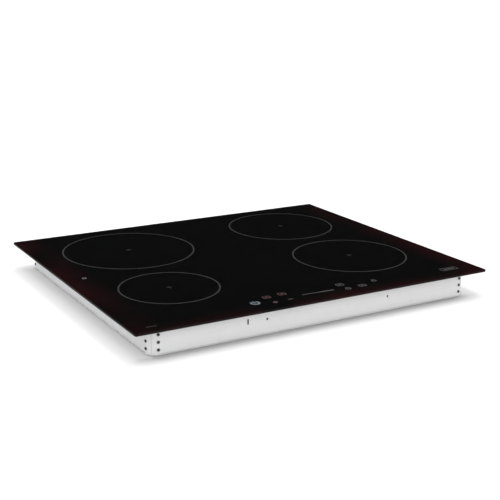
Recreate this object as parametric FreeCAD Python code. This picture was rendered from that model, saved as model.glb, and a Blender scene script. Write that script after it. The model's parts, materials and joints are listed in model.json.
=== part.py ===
"""Built-in induction cooktop with four cooking zones, modelled in millimetres.

Frame: origin at the bottom centre of the casing, +X to the user's right, +Y to the
back, +Z up. The front, where the touch controls are, faces -Y.
Every separate piece is written to parts/NODE.step.
"""

import FreeCAD
import Part
import math
import os

V = FreeCAD.Vector
X, Y, Z = V(1, 0, 0), V(0, 1, 0), V(0, 0, 1)

# ---------------------------------------------------------------- driving sizes
OVERALL_HEIGHT = 42.0

GLASS_WIDTH = 595.0
GLASS_DEPTH = 503.0
GLASS_THICK = 4.0
GLASS_CORNER_R = 3.0
GLASS_BEVEL = 0.5

OVERHANG_SIDE = 27.5        # glass beyond the casing at the left and right
OVERHANG_END = 16.5         # and at the front and back

CASING_CORNER_R = 15.0
CORNER_SEAM = 0.3           # gap between two walls where they meet halfway round a corner
SHEET = 0.8
FLANGE = 14.0
BEND_INSIDE_R = 0.4

BEAD_THICK = 1.0
BEAD_WIDTH = 9.0
BEAD_INSET = 2.0            # from the casing's faces to the bead
BEAD_END_GAP = 2.0          # from the end of a flange to the end of its bead
BEAD_CORNER_GAP = 1.0
GASKET_WIDTH = 8.0
GASKET_THICK = 1.5
GASKET_INSET = 6.0

# Cooking zones: name, the side and end of the glass they are near (signs of X and Y),
# how far the centre is from those two edges of the glass, nominal diameter.
ZONES = [
    ("rear_left", -1, 1, 151.5, 136.5, 210.0),
    ("front_left", -1, -1, 123.5, 155.5, 145.0),
    ("rear_right", 1, 1, 141.0, 120.5, 180.0),
    ("front_right", 1, -1, 141.5, 168.5, 180.0),
]
COIL_RIM_INSET = 7.0        # coil carrier radius inside the zone radius
MICA_THICK = 0.5
MICA_INSET = 0.5            # inside the carrier's rim
MICA_LAP = 1.0              # over the top of the sensor holder
WINDING_THICK = 4.0
CARRIER_THICK = 4.0
CARRIER_RIM = 2.0
CARRIER_HOLE_GAP = 2.5      # round the sensor holder
RIM_DROP = 0.4              # from the top of the winding to the top of the rims
WINDING_SIDE_GAP = 0.5      # between the winding and the rims
WIRE_PITCH = 3.6
WIRE_CROWN = 0.9            # how far each turn rises above the groove beside it
FERRITE_COUNT = 8
FERRITE_WIDTH = 13.0
FERRITE_THICK = 3.0
FERRITE_START = 22.0        # from the coil's axis to the inner end of a bar
FERRITE_END_INSET = 7.0
PLATE_THICK = 1.2
PLATE_FOOT = 12.0           # width of the coil plate's folded feet
PLATE_FRONT = 63.0          # from the front wall to the coil plates, for the touch controls
PLATE_GAP = 2.0             # beside the coil plates, to a flange or a fan
SENSOR_R = 6.0
SENSOR_DROP = 1.5           # from the top of the winding to the holder's shoulder
SENSOR_TIP_R = 2.2

SCREW_SHANK_R = 1.3
SCREW_HEAD_R = 2.2
SCREW_HEAD_H = 1.2
SCREW_CLEARANCE = 0.1
SCREW_RECESS = (2.42, 0.7, 0.84)    # cross recess: length, width, depth
SCREW_CROWN = 0.72          # rounding of the head's rim
CORNER_SCREW_ANGLE = 9.0    # how far round the bend the screws are, in degrees
CORNER_SCREW_DROP = 13.0    # from the top of the glass to the first screw
CORNER_SCREW_PITCH = 10.7
CORNER_SCREW_ROWS = 3
CORNER_SCREW_LENGTH = 3.5
CORNER_LEG = 30.0
BASE_SCREW_LENGTH = 3.6
BASE_SCREW_RECESS = (2.6, 0.6, 0.5)
BASE_SCREW_INSET = 7.0      # from the casing's side to the row of base screws
BASE_SCREW_COUNT = 4        # along each side of the base

CLAMP_HOLE_R = 1.6
CLAMP_HOLE_DROP = 20.0      # from the top of the glass
CLAMP_HOLE_X = (-90.0, 119.0)
CLAMP_SLOT_X = -121.0
CLAMP_SLOT_DROP = 19.0       # from the top of the glass to the middle of the slot
CLAMP_SLOT_WIDTH = 2.4
CLAMP_SLOT_HEIGHT = 8.4

FAN_X = 11.0
FAN_FRONT_GAP = 10.0        # from the coil plates' front edge to the first fan
FAN_ROW_GAP = 20.0          # between the two fans
FAN_SPOUT = 6.0             # how far the outlet reaches past the round housing
FAN_HEIGHT = 27.0
FAN_WALL = 1.5
FAN_R = 44.0
IMPELLER_GAP = 4.5          # between the impeller and the inside of its housing
IMPELLER_ROOF_GAP = 5.0     # from the housing's roof to the underside of the disc
IMPELLER_FLOOR_GAP = 3.0
IMPELLER_DISC = 1.5
IMPELLER_RING = 2.0         # width of the ring that ties the blades together
BLADE_COUNT = 26
BLADE_THICK = 1.0
BLADE_LENGTH = 8.7
BLADE_INSET = 0.3
BLADE_ANGLE = 28.0
HUB_R = 16.0
HUB_WALL = 1.5
HUB_FLOOR = 2.0
HUB_FLOOR_GAP = 7.0
SHAFT_R = 1.5
SHAFT_CLEARANCE = 0.03
SHAFT_TOP_GAP = 1.0         # from the top of the housing to the end of the shaft
BEARING_R = 4.0
BEARING_WALL = 2.0
BEARING_BOSS = 3.0          # how far the bearing's seat hangs below the roof
BEARING_DROP = 2.0          # above the floor of the hub
STATOR_CORE = 2.5
STATOR_ARMS = 6
STATOR_ARM_WIDTH = 3.2
STATOR_SHOE_WIDTH = 8.4
STATOR_SHOE_THICK = 1.7
STATOR_AIR_GAP = 0.8        # between the shoes and the inside of the hub
STATOR_ROOF_GAP = 3.5
GRILLE_INSET = 2.0          # the grille's circle inside the impeller's
GRILLE_SLOT = 3.0
GRILLE_PITCH = 6.5
OUTLET_COUNT = 14
OUTLET_PITCH = 22.0
OUTLET_LENGTH = 22.0
OUTLET_INSET = 35.0         # from the wall flange to the middle of the warm-air slots

BOARD_THICK = 1.6
BOARD_CORNER_R = 2.0
BOARD_SCREW_INSET = 7.0
BOARD_SCREW_LENGTH = 6.0
BOARD_Z = 7.0
BOARD_MARGIN = 10.0         # from the wall flange to a power board
BOARD_GAP = 5.0             # from a coil plate's inner edge to the board below it
BOARD_LEFT_LENGTH = 210.0
BOARD_LEFT_AHEAD = 37.5     # left board in front of the front coil's leads
BOARD_RIGHT_BEHIND = 12.0   # right board behind the rear coil's leads
BOARD_FOOT_GAP = 1.0        # from the coil plate's front foot to the right board
FILTER_BOX_GAP = 6.0        # from the filter board to the terminal box
SPACER_R = 3.5
SINK_LENGTH = 84.0
SINK_WIDTH = 40.0
SINK_BASE = 4.0
SINK_FINS = 9
FIN_THICK = 1.4
SINK_FAN_GAP = 2.0          # from a heat sink to the middle line of its fan's outlet
SINK_INSET_LEFT = 2.0       # from the board's edge to the heat sink
SINK_INSET_RIGHT = 6.0
TRANSISTOR_COUNT = 4
TRANSISTOR_INSET = 1.5      # from the end of the heat sink to the first transistor
TRANSISTOR_SIZE = (16.0, 21.0, 5.0)
TRANSISTOR_PITCH = 19.5
CAPACITOR_SIZE = (30.0, 16.0, 17.0)
CAPACITOR_PITCH = 22.0
CAPACITOR_COUNT = 4
CAPACITOR_EDGE_R = 0.8
CAPACITOR_START_LEFT = 90.0     # from the board's front edge to the first capacitor
CAPACITOR_START_RIGHT = 39.0
CAPACITOR_INSET = 28.0      # from the board's outer edge to the row of capacitors
CHOKE_R = 21.0
CHOKE_HOLE_R = 10.0
CHOKE_HEIGHT = 14.0
CHOKE_EDGE_R = 2.5

TOUCH_BOARD_X = (-114.0, 124.0)
TOUCH_BOARD_DEPTH = 34.0
TOUCH_CUTAWAY = 4.0         # front flange cut away beyond the ends of the board
BRACKET_THICK = 2.0
BRACKET_RIM = (12.0, 8.0)   # width of the bracket's rim at the ends and along the sides
BRACKET_LEG = 6.0
BRACKET_LEG_GAP = 1.0       # from the front wall's flange to the front legs
DISPLAY_X = (-73.0, -46.0, 52.0, 80.0)
DISPLAY_SIZE = (12.6, 17.0)
DISPLAY_GLASS_GAP = 0.3
LIGHT_BAR_X = -100.0
LIGHT_BAR_SIZE = (18.0, 8.0)
TOUCH_KEY_X = (-100.0, -73.0, -46.0, -18.0, -3.0, 12.0, 27.0, 52.0, 80.0, 112.0)
TOUCH_SPRING_R = 3.6
TOUCH_SPRING_WALL = 0.8
TOUCH_DEPTH = 9.0           # from the glass down to the underside of the touch board
TOUCH_SETBACK = 2.0         # from the front wall's inside to the touch board
TOUCH_SPRING_Y = 9.0        # from the front wall's face to the row of springs
DISPLAY_Y = 25.0            # and to the row of displays

BOX_WIDTH = 94.0
BOX_DEPTH = 54.0
BOX_HEIGHT = 29.0
BOX_WALL = 2.0
BOX_CORNER_R = 2.0
BOX_REAR_GAP = 1.0          # from the rear wall's flange to the box
COVER_THICK = 2.0
COVER_GAP = 1.0
COVER_DROP = 0.4            # height of the closed cover above the ground
HINGE_PIN_R = 0.8
HINGE_CLEARANCE = 0.05
HINGE_BARREL_R = 1.7
HINGE_SETBACK = 1.8         # from the box's front wall to the barrel
HINGE_SWING_GAP = 0.6       # between the barrel and the edge of the base opening
BOX_LIP = 1.0               # base left showing inside the box walls
TONGUE = (8.0, 1.5, 7.6)    # snap tongue: width, thickness, top above the cover's underside
GLAND_BORE_R = 6.5
GLAND_WALL = 2.5
GLAND_LIP = 3.5             # how far the flange reaches beyond the bush
GLAND_FLANGE_H = 2.5
GLAND_EDGE_R = 1.0
GLAND_Z = 15.0
GLAND_REACH = 3.0           # how far the bush reaches into the terminal box
POLES = 6
POLE_PITCH = 12.0
BLOCK_DEPTH = 20.0
BLOCK_SETBACK = 6.0         # from the box's front wall to the terminal block
BLOCK_DROP = 1.0            # underside of the block below the gland's middle
WELL_R = 3.2
WELL_SETBACK = 7.0          # from the block's front to the row of wells
WELL_DEPTH = 6.0
CLAMP_SCREW_GAP = 0.4       # round a clamp screw in its well
CLAMP_SCREW_H = 3.0
CLAMP_SCREW_SLOT = (0.8, 1.0)   # width and depth
PORT_SIZE = (6.0, 6.0)      # wire port: width and height
PORT_SETBACK = 14.0
LEAD_R = 1.5
LEAD_BEND_R = 5.0
LEAD_SPACING = 12.0
LEAD_RUN = 3.0              # straight length between a coil's rim and the bend
LEAD_RIM_GAP = 0.3
LEAD_HOLE_GAP = 1.0         # round a lead where it passes the coil plate
FIT_GAP = 0.05              # slack between fixed round pieces that seat in each other

# ---------------------------------------------------------------- worked-out sizes
CASING_WIDTH = GLASS_WIDTH - 2 * OVERHANG_SIDE
CASING_DEPTH = GLASS_DEPTH - 2 * OVERHANG_END
GLASS_BOTTOM = OVERALL_HEIGHT - GLASS_THICK
WALL_TOP = GLASS_BOTTOM - BEAD_THICK
BEND_R = SHEET + BEND_INSIDE_R
HALF_W = CASING_WIDTH / 2
HALF_D = CASING_DEPTH / 2
WINDING_TOP = GLASS_BOTTOM - MICA_THICK
CARRIER_TOP = WINDING_TOP - WINDING_THICK
PLATE_TOP = CARRIER_TOP - CARRIER_THICK
PLATE_BOTTOM = PLATE_TOP - PLATE_THICK
BOARD_TOP = BOARD_Z + BOARD_THICK
SCREW_HOLE_R = SCREW_SHANK_R + SCREW_CLEARANCE

# Coils: name, centre x, centre y, outer radius of the carrier.
COILS = [(name, sx * (GLASS_WIDTH / 2 - dx), sy * (GLASS_DEPTH / 2 - dy),
          diameter / 2 - COIL_RIM_INSET)
         for name, sx, sy, dx, dy, diameter in ZONES]
# Where each coil's leads leave its rim, and the side they leave it towards.
LEAD_DROP = LEAD_BEND_R + LEAD_RUN
LEAD_EXITS = {name: (cx, cy + (-1 if cy > 0 else 1) * radius, -1 if cy > 0 else 1)
              for name, cx, cy, radius in COILS}

IMPELLER_R = FAN_R - FAN_WALL - IMPELLER_GAP
GRILLE_R = IMPELLER_R - GRILLE_INSET
FAN_SIDE = FAN_R + FAN_SPOUT
PLATE_Y = (-HALF_D + PLATE_FRONT, HALF_D - FLANGE - PLATE_GAP)
PLATE_LEFT_X = (-HALF_W + FLANGE + PLATE_GAP, FAN_X - FAN_SIDE - PLATE_GAP)
PLATE_RIGHT_X = (FAN_X + FAN_SIDE + PLATE_GAP, HALF_W - FLANGE - PLATE_GAP)
FAN_RIGHT_Y = PLATE_Y[0] + FAN_FRONT_GAP + FAN_R
FAN_LEFT_Y = FAN_RIGHT_Y + 2 * FAN_R + FAN_ROW_GAP

BOX_X0 = FAN_X - BOX_WIDTH / 2
BOX_X1 = FAN_X + BOX_WIDTH / 2
BOX_Y1 = HALF_D - FLANGE - BOX_REAR_GAP
BOX_Y0 = BOX_Y1 - BOX_DEPTH
HINGE_Z = COVER_DROP + HINGE_BARREL_R
HINGE_Y = BOX_Y0 + BOX_WALL + HINGE_BARREL_R + HINGE_SETBACK
BLOCK_Y0 = BOX_Y0 + BOX_WALL + BLOCK_SETBACK
BLOCK_Z0 = GLAND_Z - BLOCK_DROP
GLAND_R = GLAND_BORE_R + GLAND_WALL
CLAMP_SCREW_R = WELL_R - CLAMP_SCREW_GAP

BOARD_LEFT_Y0 = LEAD_EXITS["front_left"][1] + LEAD_DROP - BOARD_LEFT_AHEAD
BOARD_LEFT = (-HALF_W + FLANGE + BOARD_MARGIN, PLATE_LEFT_X[1] - BOARD_GAP,
              BOARD_LEFT_Y0, BOARD_LEFT_Y0 + BOARD_LEFT_LENGTH)
BOARD_RIGHT = (PLATE_RIGHT_X[0] + BOARD_GAP, HALF_W - FLANGE - BOARD_MARGIN,
               PLATE_Y[0] + PLATE_FOOT + BOARD_FOOT_GAP,
               LEAD_EXITS["rear_right"][1] - LEAD_DROP + BOARD_RIGHT_BEHIND)
BOARD_FILTER = (FAN_X - FAN_R, FAN_X + FAN_R, FAN_LEFT_Y + FAN_R + PLATE_FOOT,
                BOX_Y0 - FILTER_BOX_GAP)


# ---------------------------------------------------------------- shape helpers
def block(x0, x1, y0, y1, z0, z1):
    """A box between two corners."""
    return Part.makeBox(x1 - x0, y1 - y0, z1 - z0, V(x0, y0, z0))


def rod(radius, start, axis, length):
    """A round bar from start along axis."""
    return Part.makeCylinder(radius, length, start, axis)


def ring(outer, inner, centre, height):
    """A vertical tube, its foot centred on centre."""
    return rod(outer, centre, Z, height).cut(rod(inner, centre - Z, Z, height + 2))


def edges_along(shape, axis, test=lambda p: True):
    """The straight edges parallel to axis whose middle passes the test."""
    found = []
    for edge in shape.Edges:
        if not isinstance(edge.Curve, (Part.Line, Part.LineSegment)):
            continue
        run = edge.Vertexes[-1].Point - edge.Vertexes[0].Point
        if run.Length > 1e-6 and run.cross(axis).Length < 1e-6 * run.Length:
            if test(edge.CenterOfMass):
                found.append(edge)
    return found


def slab(width, depth, radius, z0, z1):
    """A plate centred on the Z axis with rounded vertical corners."""
    plate = block(-width / 2, width / 2, -depth / 2, depth / 2, z0, z1)
    return plate.makeFillet(radius, edges_along(plate, Z))


def slot(width, length, start, along, through, depth):
    """A round-ended cutter: centred on start, long along one axis, cut through another."""
    side = along.cross(through)
    half = (length - width) / 2
    corner = start - along * half - side * (width / 2)
    face = Part.Face(Part.makePolygon([
        corner, corner + along * 2 * half, corner + along * 2 * half + side * width,
        corner + side * width, corner]))
    cutter = face.extrude(through * depth)
    for end in (-half, half):
        cutter = cutter.fuse(rod(width / 2, start + along * end, through, depth))
    return cutter.removeSplitter()


def placed(shape, angle, shift):
    """A copy turned about Z and then moved."""
    copy = shape.copy()
    copy.rotate(V(0, 0, 0), Z, angle)
    copy.translate(shift)
    return copy


def group(shapes):
    """Separate solids kept in one node."""
    return Part.makeCompound(shapes)


def pan_screw(tip_of_wall, into, length):
    """A cross-recessed pan-head screw: head outside the wall, shank pointing into it."""
    head = rod(SCREW_HEAD_R, tip_of_wall - into * SCREW_HEAD_H, into, SCREW_HEAD_H)
    rim = [e for e in head.Edges if isinstance(e.Curve, Part.Circle)
           and (e.CenterOfMass - tip_of_wall).dot(into) < -SCREW_HEAD_H / 2]
    head = head.makeFillet(SCREW_CROWN, rim)
    shape = head.fuse(rod(SCREW_SHANK_R, tip_of_wall, into, length))
    side = into.cross(Z) if abs(into.z) < 0.5 else X
    other = into.cross(side)
    long, wide, deep = SCREW_RECESS
    face_centre = tip_of_wall - into * SCREW_HEAD_H
    for a, b in ((side, other), (other, side)):
        corner = face_centre - a * (long / 2) - b * (wide / 2) - into
        face = Part.Face(Part.makePolygon([
            corner, corner + a * long, corner + a * long + b * wide,
            corner + b * wide, corner]))
        shape = shape.cut(face.extrude(into * (deep + 1.0)))
    return shape


# ---------------------------------------------------------------- glass and seals
def glass_panel():
    """The glass-ceramic plate with ground corners and bevelled edges."""
    plate = slab(GLASS_WIDTH, GLASS_DEPTH, GLASS_CORNER_R, GLASS_BOTTOM, OVERALL_HEIGHT)
    rims = [e for e in plate.Edges
            if abs(e.Vertexes[0].Point.z - e.Vertexes[-1].Point.z) < 1e-6]
    return plate.makeChamfer(GLASS_BEVEL, rims)


def sealing_gasket():
    """Foam tape under the rim of the glass, in four butted strips."""
    x1, y1 = GLASS_WIDTH / 2 - GASKET_INSET, GLASS_DEPTH / 2 - GASKET_INSET
    x0, y0 = x1 - GASKET_WIDTH, y1 - GASKET_WIDTH
    z0, z1 = GLASS_BOTTOM - GASKET_THICK, GLASS_BOTTOM
    return group([
        block(-x1, x1, -y1, -y0, z0, z1), block(-x1, x1, y0, y1, z0, z1),
        block(-x1, -x0, -y0, y0, z0, z1), block(x0, x1, -y0, y0, z0, z1)])


def adhesive_bead():
    """Silicone between the casing's top flange and the glass, one run per flange."""
    z0, z1 = WALL_TOP, GLASS_BOTTOM
    y1 = HALF_D - BEAD_INSET
    x1 = HALF_W - BEAD_INSET
    end = HALF_W - FLANGE - BEAD_END_GAP
    side_end = HALF_D - CASING_CORNER_R - BEAD_CORNER_GAP
    beside = TOUCH_CUTAWAY + BEAD_END_GAP
    return group([
        block(-end, TOUCH_BOARD_X[0] - beside, -y1, -y1 + BEAD_WIDTH, z0, z1),
        block(TOUCH_BOARD_X[1] + beside, end, -y1, -y1 + BEAD_WIDTH, z0, z1),
        block(-end, end, y1 - BEAD_WIDTH, y1, z0, z1),
        block(-x1, -x1 + BEAD_WIDTH, -side_end, side_end, z0, z1),
        block(x1 - BEAD_WIDTH, x1, -side_end, side_end, z0, z1)])


# ---------------------------------------------------------------- casing
def corner_screw_heights():
    """Heights of the corner screws, from the top row down."""
    return [OVERALL_HEIGHT - CORNER_SCREW_DROP - row * CORNER_SCREW_PITCH
            for row in range(CORNER_SCREW_ROWS)]


def corner_axes():
    """For each corner: the signs of X and Y, and the two outward directions of its screws."""
    turn = math.radians(CORNER_SCREW_ANGLE)
    near, far = math.sin(turn), math.cos(turn)
    return [(sx, sy, [V(sx * near, sy * far, 0), V(sx * far, sy * near, 0)])
            for sx in (-1, 1) for sy in (-1, 1)]


def corner_centre(sx, sy, z):
    """The axis point of the bend at one corner."""
    return V(sx * (HALF_W - CASING_CORNER_R), sy * (HALF_D - CASING_CORNER_R), z)


def drill_corners(shape):
    """The shape with the radial screw holes of all the corners."""
    for sx, sy, directions in corner_axes():
        for z in corner_screw_heights():
            for out in directions:
                start = corner_centre(sx, sy, z) + out * (CASING_CORNER_R - 3 * SHEET)
                shape = shape.cut(rod(SCREW_HOLE_R, start, out, 4 * SHEET))
    return shape


def casing_skin(z0, z1):
    """A closed band, one sheet thick, round the whole casing."""
    outer = slab(CASING_WIDTH, CASING_DEPTH, CASING_CORNER_R, z0, z1)
    inner = slab(CASING_WIDTH - 2 * SHEET, CASING_DEPTH - 2 * SHEET,
                 CASING_CORNER_R - SHEET, z0 - 1, z1 + 1)
    return outer.cut(inner)


def folded_wall(half_length):
    """A C-section strip along X: its web faces -Y at y = 0, its flanges point to +Y."""
    z0, z1 = SHEET, WALL_TOP
    body = block(-half_length, half_length, 0, FLANGE, z0, z1)
    body = body.makeFillet(BEND_R, edges_along(body, X, lambda p: p.y < SHEET / 2))
    inside = block(-half_length - 1, half_length + 1, SHEET, FLANGE + 1,
                   z0 + SHEET, z1 - SHEET)
    inner_r = BEND_R - SHEET
    inside = inside.makeFillet(inner_r, edges_along(inside, X, lambda p: p.y < 2 * SHEET))
    return body.cut(inside)


def wall_end(sx, sy, along_x):
    """The half of a corner's bend that belongs to one wall, up to the seam."""
    z0, z1 = SHEET, WALL_TOP
    centre = corner_centre(sx, sy, z0)
    reach = 2 * CASING_CORNER_R
    seam = V(sx, sy, 0).normalize()
    straight = V(0, sy, 0) if along_x else V(sx, 0, 0)
    side = (seam.cross(Z)).normalize()
    if side.dot(straight) < 0:
        side = side * -1
    start = centre + side * (CORNER_SEAM / 2)
    wedge = Part.Face(Part.makePolygon([
        start, start + seam * reach, centre + straight * reach, centre + straight * 0.01,
        start])).extrude(Z * (z1 - z0))
    return casing_skin(z0, z1).common(wedge)


def long_wall(sy):
    """The front wall (sy = -1) or the rear one, round to the seams, with its clamp holes."""
    wall = folded_wall(HALF_W - CASING_CORNER_R)
    wall = placed(wall, 0 if sy < 0 else 180, V(0, sy * HALF_D, 0))
    for sx in (-1, 1):
        wall = wall.fuse(wall_end(sx, sy, True))
    z = OVERALL_HEIGHT - CLAMP_HOLE_DROP
    for x in CLAMP_HOLE_X:
        wall = wall.cut(rod(CLAMP_HOLE_R, V(x, sy * (HALF_D - 2 * SHEET), z), Y * sy, 4 * SHEET))
    return flange_holes(drill_corners(wall.removeSplitter()))


def wall_front():
    """Front wall, its top flange cut away for the touch controls, with the clamp slot."""
    wall = long_wall(-1)
    wall = wall.cut(block(TOUCH_BOARD_X[0] - TOUCH_CUTAWAY, TOUCH_BOARD_X[1] + TOUCH_CUTAWAY,
                          -HALF_D + BEND_R, -HALF_D + FLANGE + 1, WALL_TOP - BEND_R, WALL_TOP + 1))
    z = OVERALL_HEIGHT - CLAMP_SLOT_DROP
    return wall.cut(slot(CLAMP_SLOT_WIDTH, CLAMP_SLOT_HEIGHT,
                         V(CLAMP_SLOT_X, -HALF_D - 1, z), Z, Y, SHEET + 2))


def wall_rear():
    """Rear wall with the hole that the cable gland snaps into."""
    hole = rod(GLAND_R + FIT_GAP, V(FAN_X, HALF_D - 2 * SHEET, GLAND_Z), Y, 4 * SHEET)
    return long_wall(1).cut(hole)


def wall_side(sx):
    """The left (sx = -1) or right wall, round to the seams; its flanges stop short."""
    wall = folded_wall(HALF_D - CASING_CORNER_R)
    wall = placed(wall, 90 * sx, V(sx * HALF_W, 0, 0))
    for sy in (-1, 1):
        wall = wall.fuse(wall_end(sx, sy, False))
    return flange_holes(drill_corners(wall.removeSplitter()))


def corner_piece(sx, sy):
    """The bent piece that closes a corner from the inside, screwed to both walls."""
    z0, z1 = SHEET + BEND_R + SCREW_CLEARANCE, WALL_TOP - BEND_R - SCREW_CLEARANCE
    radius = CASING_CORNER_R - SHEET
    outer = slab(CASING_WIDTH - 2 * SHEET, CASING_DEPTH - 2 * SHEET, radius, z0, z1)
    inner = slab(CASING_WIDTH - 4 * SHEET, CASING_DEPTH - 4 * SHEET, radius - SHEET,
                 z0 - 1, z1 + 1)
    xs = sorted((sx * (HALF_W - CORNER_LEG), sx * HALF_W))
    ys = sorted((sy * (HALF_D - CORNER_LEG), sy * HALF_D))
    piece = outer.cut(inner).common(block(*xs, *ys, 0, OVERALL_HEIGHT))
    return drill_corners(piece)


def corner_screws():
    """Two columns of screws round each corner, set square to the bend."""
    screws = []
    for sx, sy, directions in corner_axes():
        for z in corner_screw_heights():
            for out in directions:
                seat = corner_centre(sx, sy, z) + out * CASING_CORNER_R
                screws.append(pan_screw(seat, out * -1, CORNER_SCREW_LENGTH))
    return group(screws)


def base_screw_places():
    """Where the countersunk screws go up through the base into the wall flanges."""
    places = []
    x, y = HALF_W - BASE_SCREW_INSET, HALF_D - BASE_SCREW_INSET
    for k in range(BASE_SCREW_COUNT):
        share = 2.0 * (k + 0.5) / BASE_SCREW_COUNT - 1.0
        places += [(share * x, -y), (share * x, y), (-x, share * y), (x, share * y)]
    return places


def countersink(x, y, slack):
    """The conical head of a base screw, flush with the underside, grown by slack."""
    return Part.makeCone(SCREW_HEAD_R + slack, SCREW_SHANK_R + slack, SHEET, V(x, y, 0), Z)


def base_screws():
    """Countersunk cross-recessed screws that hold the base to the walls."""
    screws = []
    length, width, deep = BASE_SCREW_RECESS
    recess = block(-length / 2, length / 2, -width / 2, width / 2, -1, deep)
    for x, y in base_screw_places():
        screw = countersink(x, y, 0).fuse(rod(SCREW_SHANK_R, V(x, y, SHEET), Z, BASE_SCREW_LENGTH))
        for turn in (0, 90):
            screw = screw.cut(placed(recess, turn, V(x, y, 0)))
        screws.append(screw)
    return group(screws)


def flange_holes(shape):
    """The shape with a clearance hole over every base screw that meets it."""
    for x, y in base_screw_places():
        shape = shape.cut(rod(SCREW_HOLE_R, V(x, y, SHEET / 2), Z, 3 * SHEET))
    return shape


def grille(centre):
    """Cutters for the round inlet grille under a fan: parallel slots inside a circle."""
    cutters = []
    rows = int(GRILLE_R / GRILLE_PITCH)
    for row in range(-rows, rows + 1):
        y = row * GRILLE_PITCH
        half = math.sqrt(GRILLE_R ** 2 - y ** 2)
        if half > 2 * GRILLE_SLOT:
            cutters.append(slot(GRILLE_SLOT, 2 * half, centre + V(0, y, -1), X, Z,
                                SHEET + 2))
    return cutters


def outlet_slots():
    """Cutters for the warm-air slots near the left and right edges of the base."""
    cutters = []
    for side in (-1, 1):
        for row in range(OUTLET_COUNT):
            y = (row - (OUTLET_COUNT - 1) / 2) * OUTLET_PITCH
            centre = V(side * (HALF_W - FLANGE - OUTLET_INSET), y, -1)
            cutters.append(slot(GRILLE_SLOT, OUTLET_LENGTH, centre, X, Z, SHEET + 2))
    return cutters


def base_panel():
    """The flat base with its fan grilles, warm-air slots and the terminal opening."""
    panel = slab(CASING_WIDTH, CASING_DEPTH, CASING_CORNER_R, 0, SHEET)
    for cutter in grille(V(FAN_X, FAN_LEFT_Y, 0)) + grille(V(FAN_X, FAN_RIGHT_Y, 0)):
        panel = panel.cut(cutter)
    for cutter in outlet_slots():
        panel = panel.cut(cutter)
    for x, y in base_screw_places():
        panel = panel.cut(countersink(x, y, SCREW_CLEARANCE))
    return panel.cut(block(BOX_X0 + BOX_WALL + BOX_LIP, BOX_X1 - BOX_WALL - BOX_LIP,
                           HINGE_Y - HINGE_BARREL_R - HINGE_SWING_GAP, BOX_Y1 - BOX_WALL,
                           -1, SHEET + 1))


# ---------------------------------------------------------------- coils
def ferrite_bars(cx, cy, radius, slack=0.0):
    """Flat radial bars that sit in the pockets under a coil carrier, grown by slack."""
    half = FERRITE_WIDTH / 2 + slack
    bars = []
    for k in range(FERRITE_COUNT):
        bar = block(FERRITE_START - slack, radius - FERRITE_END_INSET + slack, -half, half,
                    PLATE_TOP, PLATE_TOP + FERRITE_THICK)
        bars.append(placed(bar, k * 360.0 / FERRITE_COUNT, V(cx, cy, 0)))
    return bars


def coil_carrier(cx, cy, radius):
    """The moulded disc that holds the winding on top and the ferrites underneath."""
    foot = V(cx, cy, PLATE_TOP)
    hole = SENSOR_R + CARRIER_HOLE_GAP
    rim = WINDING_TOP - RIM_DROP - PLATE_TOP
    disc = ring(radius, hole, foot, CARRIER_THICK)
    disc = disc.fuse(ring(radius, radius - CARRIER_RIM, foot, rim))
    disc = disc.fuse(ring(hole + CARRIER_RIM, hole, foot, rim))
    for pocket in ferrite_bars(cx, cy, radius, 2 * SCREW_CLEARANCE):
        disc = disc.cut(pocket)
    return disc.removeSplitter()


def coil_winding(cx, cy, radius):
    """The flat litz winding as one solid, its round turns standing side by side."""
    beside = CARRIER_RIM + WINDING_SIDE_GAP
    r0 = SENSOR_R + CARRIER_HOLE_GAP + beside
    turns = int((radius - beside - r0) / WIRE_PITCH)
    low, high = CARRIER_TOP, WINDING_TOP - WIRE_CROWN
    edges = [Part.LineSegment(V(r0, 0, high), V(r0, 0, low)).toShape()]
    r_end = r0 + turns * WIRE_PITCH
    edges.append(Part.LineSegment(V(r0, 0, low), V(r_end, 0, low)).toShape())
    edges.append(Part.LineSegment(V(r_end, 0, low), V(r_end, 0, high)).toShape())
    for k in reversed(range(turns)):
        a = V(r0 + (k + 1) * WIRE_PITCH, 0, high)
        b = V(r0 + k * WIRE_PITCH, 0, high)
        edges.append(Part.Arc(a, (a + b) * 0.5 + Z * WIRE_CROWN, b).toShape())
    profile = Part.Face(Part.Wire(Part.__sortEdges__(edges)))
    solid = profile.revolve(V(0, 0, 0), Z, 360)
    solid.translate(V(cx, cy, 0))
    return solid


def mica_sheets():
    """Insulating discs between the windings and the glass."""
    sheets = []
    for _, cx, cy, radius in COILS:
        sheets.append(ring(radius - MICA_INSET, SENSOR_R - MICA_LAP,
                           V(cx, cy, WINDING_TOP), MICA_THICK))
    return group(sheets)


def temperature_sensors():
    """Sensor holders in the middle of the coils, their tips touching the glass."""
    holders = []
    for _, cx, cy, _ in COILS:
        holder = rod(SENSOR_R, V(cx, cy, PLATE_TOP), Z, WINDING_TOP - SENSOR_DROP - PLATE_TOP)
        tip = rod(SENSOR_TIP_R, V(cx, cy, PLATE_TOP), Z, GLASS_BOTTOM - PLATE_TOP)
        holders.append(holder.fuse(tip))
    return group(holders)


def coil_plate(xs):
    """An aluminium plate on two folded legs that carries two coils."""
    x0, x1 = xs
    y0, y1 = PLATE_Y
    plate = block(x0, x1, y0, y1, PLATE_BOTTOM, PLATE_TOP)
    for leg_y, inward in ((y0, 1), (y1 - PLATE_THICK, -1)):
        plate = plate.fuse(block(x0, x1, leg_y, leg_y + PLATE_THICK, SHEET, PLATE_TOP))
        a, b = sorted((leg_y + (PLATE_THICK if inward < 0 else 0),
                       leg_y + inward * PLATE_FOOT))
        plate = plate.fuse(block(x0, x1, a, b, SHEET, SHEET + PLATE_THICK))
    for cx, y, toward in LEAD_EXITS.values():
        if x0 < cx < x1:
            for k in (-0.5, 0.5):
                hole = V(cx + k * LEAD_SPACING, y + toward * LEAD_DROP, 0)
                plate = plate.cut(rod(LEAD_R + LEAD_HOLE_GAP, hole, Z, OVERALL_HEIGHT))
    return plate.removeSplitter()


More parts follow.
